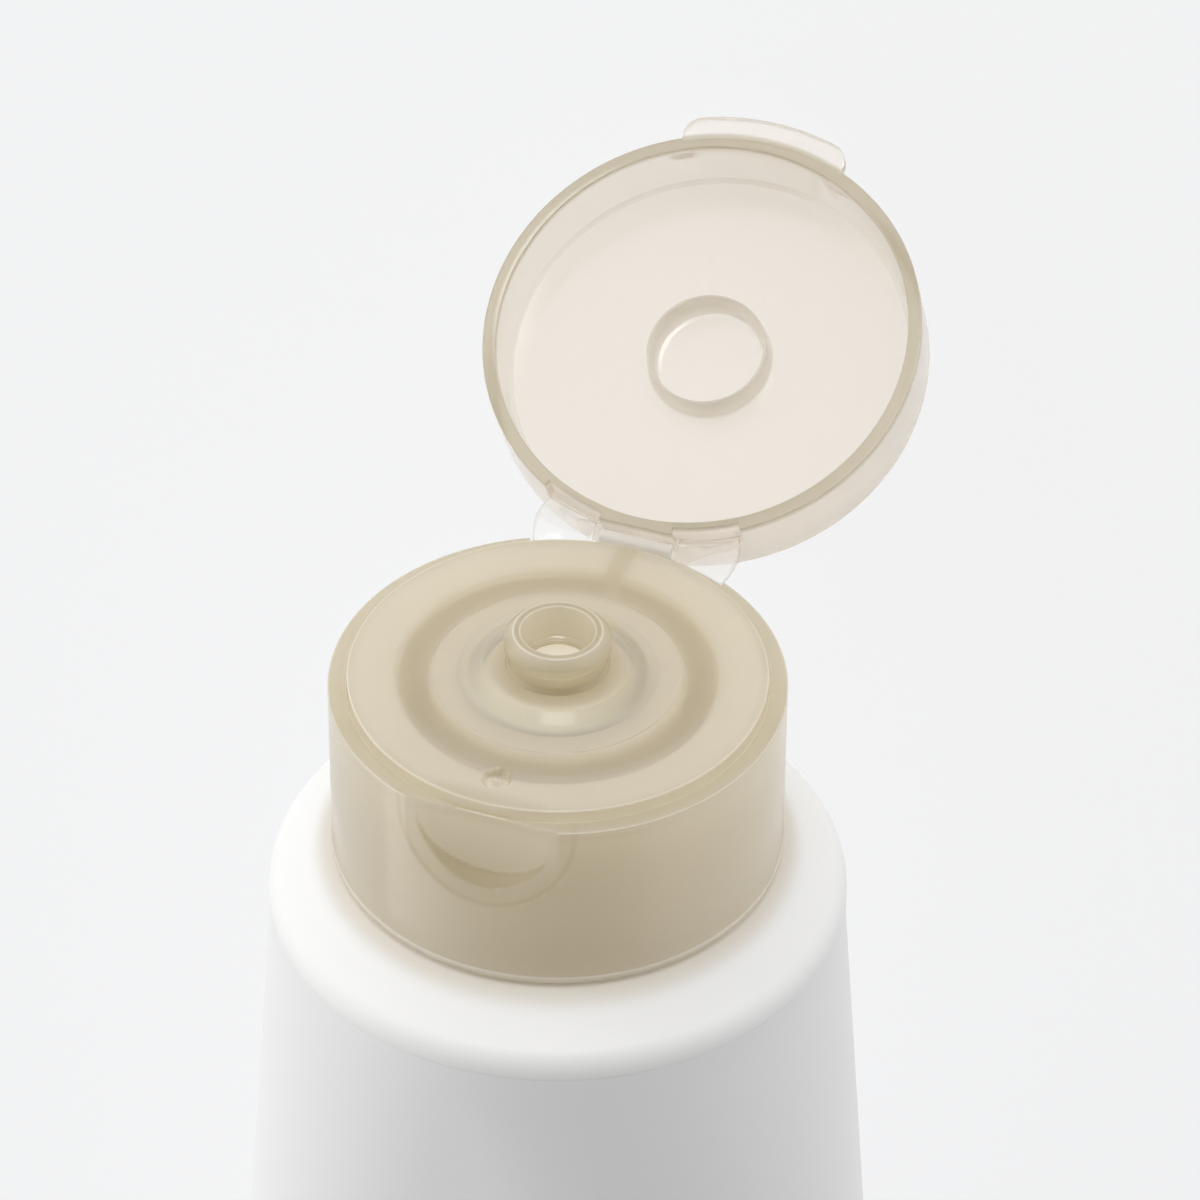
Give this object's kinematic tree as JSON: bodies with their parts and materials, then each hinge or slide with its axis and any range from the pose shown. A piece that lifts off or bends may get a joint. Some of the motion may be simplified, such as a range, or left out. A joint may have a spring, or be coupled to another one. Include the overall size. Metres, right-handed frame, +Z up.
{
  "type": "face wash tube",
  "caption": "White squeeze tube for face wash, lying on its back, with a translucent beige flip-top cap whose lid stands open on a living hinge.",
  "frame": {"origin": "on the surface, under the middle of the tube's bounding box", "axes": "+Z up from the surface, +Y from the sealed tail towards the cap, +X along the sealed tail and the lid's hinge"},
  "size_m": [0.0628, 0.1728, 0.0549],
  "materials": {
    "sleeve": "satin",
    "head": "satin",
    "cap": "translucent, smooth",
    "lid": "translucent, smooth",
    "film": "translucent thin film",
    "face_wash": "wet paste"
  },
  "bodies": {
    "tube": {"tube_sleeve": "sleeve", "tube_head": "head", "face_wash": "face_wash", "cap_base": "cap", "hinge_strap": "film", "web_left": "film", "web_right": "film"},
    "lid": {"cap_lid": "lid"}
  },
  "joints": [
    {"name": "lid_hinge", "type": "hinge", "parent": "tube", "child": "lid", "pos_m": [0, 0.06345, 0.02565], "axis": [1, 0, 0], "range_deg": [-8, 151.8], "deforming": ["hinge_strap", "web_left", "web_right"]}
  ]
}
